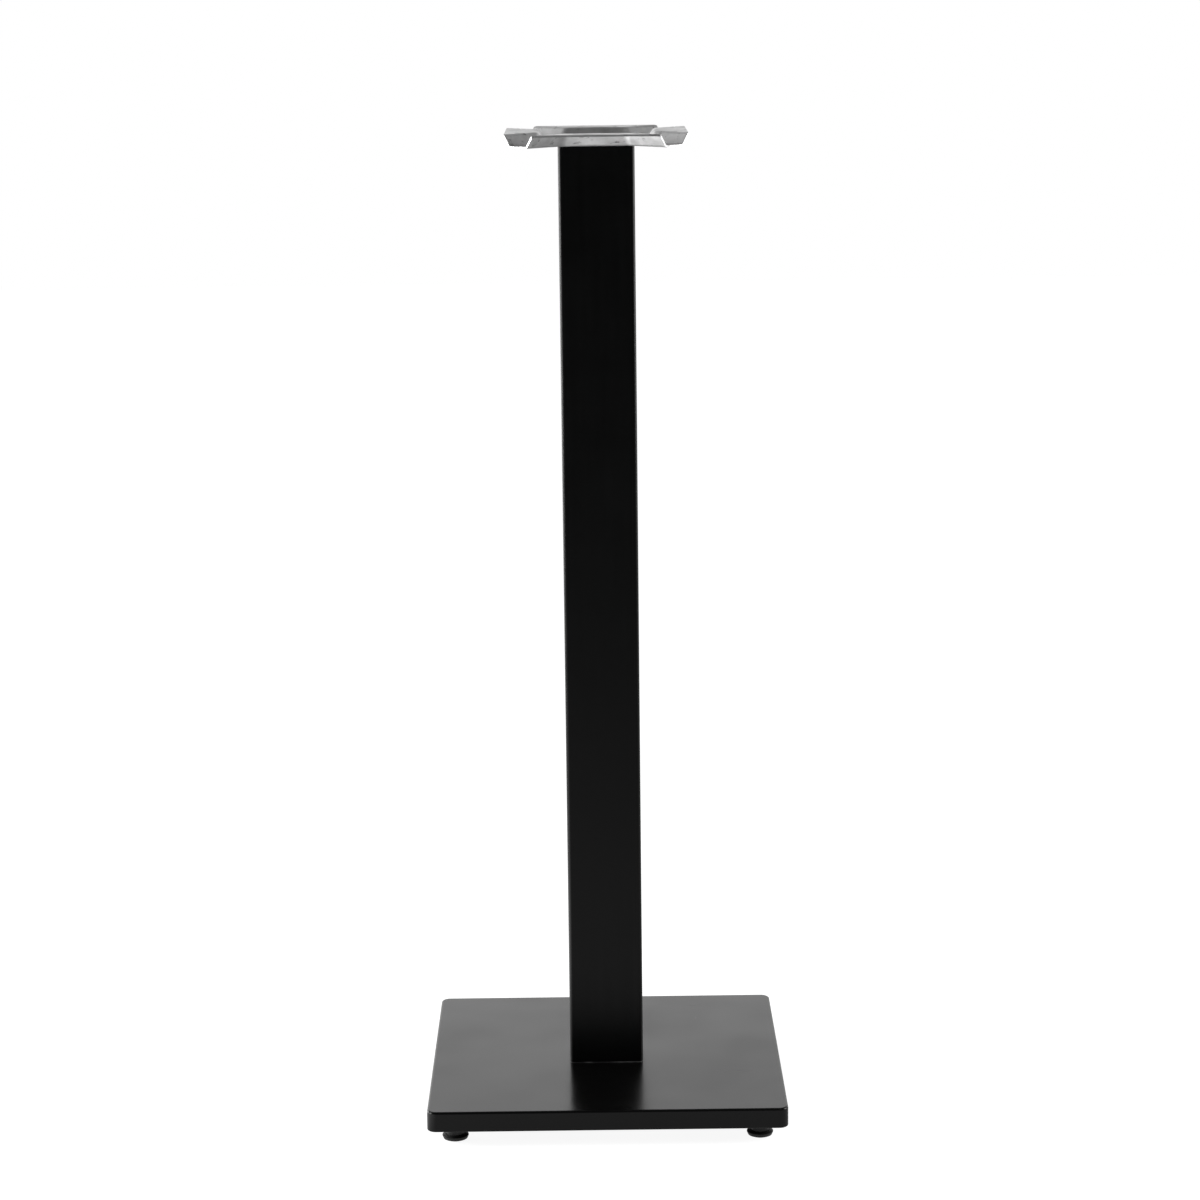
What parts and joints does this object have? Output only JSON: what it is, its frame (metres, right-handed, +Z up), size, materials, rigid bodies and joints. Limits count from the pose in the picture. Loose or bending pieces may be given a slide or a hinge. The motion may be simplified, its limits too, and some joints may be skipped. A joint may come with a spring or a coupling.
{
  "type": "bar table base",
  "caption": "Bar-height table base: square cast foot plate on levelling feet, square tube column and a pressed steel plate that takes the tabletop.",
  "frame": {"origin": "middle of the foot plate, on the floor", "axes": "+Z up along the column, +X to the right, -Y to the front"},
  "size_m": [0.382, 0.382, 1.0535],
  "materials": {
    "black_iron": "satin black powder coat",
    "black_steel": "satin black powder coat",
    "zinc_sheet": "bright zinc plating",
    "zinc_steel": "bright zinc plating",
    "black_plastic": "matt moulded plastic"
  },
  "bodies": {
    "stand": {"base_plate": "black_iron", "column_tube": "black_steel", "top_plate": "zinc_sheet", "tie_rod": "zinc_steel", "top_washer": "zinc_steel", "top_nut": "zinc_steel", "bottom_washer": "zinc_steel", "bottom_nut": "zinc_steel"},
    "foot_front_left": {"foot_pad_front_left": "black_plastic", "foot_stem_front_left": "zinc_steel"},
    "foot_front_right": {"foot_pad_front_right": "black_plastic", "foot_stem_front_right": "zinc_steel"},
    "foot_rear_left": {"foot_pad_rear_left": "black_plastic", "foot_stem_rear_left": "zinc_steel"},
    "foot_rear_right": {"foot_pad_rear_right": "black_plastic", "foot_stem_rear_right": "zinc_steel"}
  },
  "joints": [
    {"name": "level_front_left", "type": "slide", "parent": "stand", "child": "foot_front_left", "axis": [0, 0, -1], "range_m": [-0.0045, 0.006]},
    {"name": "level_front_right", "type": "slide", "parent": "stand", "child": "foot_front_right", "axis": [0, 0, -1], "range_m": [-0.0045, 0.006]},
    {"name": "level_rear_left", "type": "slide", "parent": "stand", "child": "foot_rear_left", "axis": [0, 0, -1], "range_m": [-0.0045, 0.006]},
    {"name": "level_rear_right", "type": "slide", "parent": "stand", "child": "foot_rear_right", "axis": [0, 0, -1], "range_m": [-0.0045, 0.006]}
  ]
}
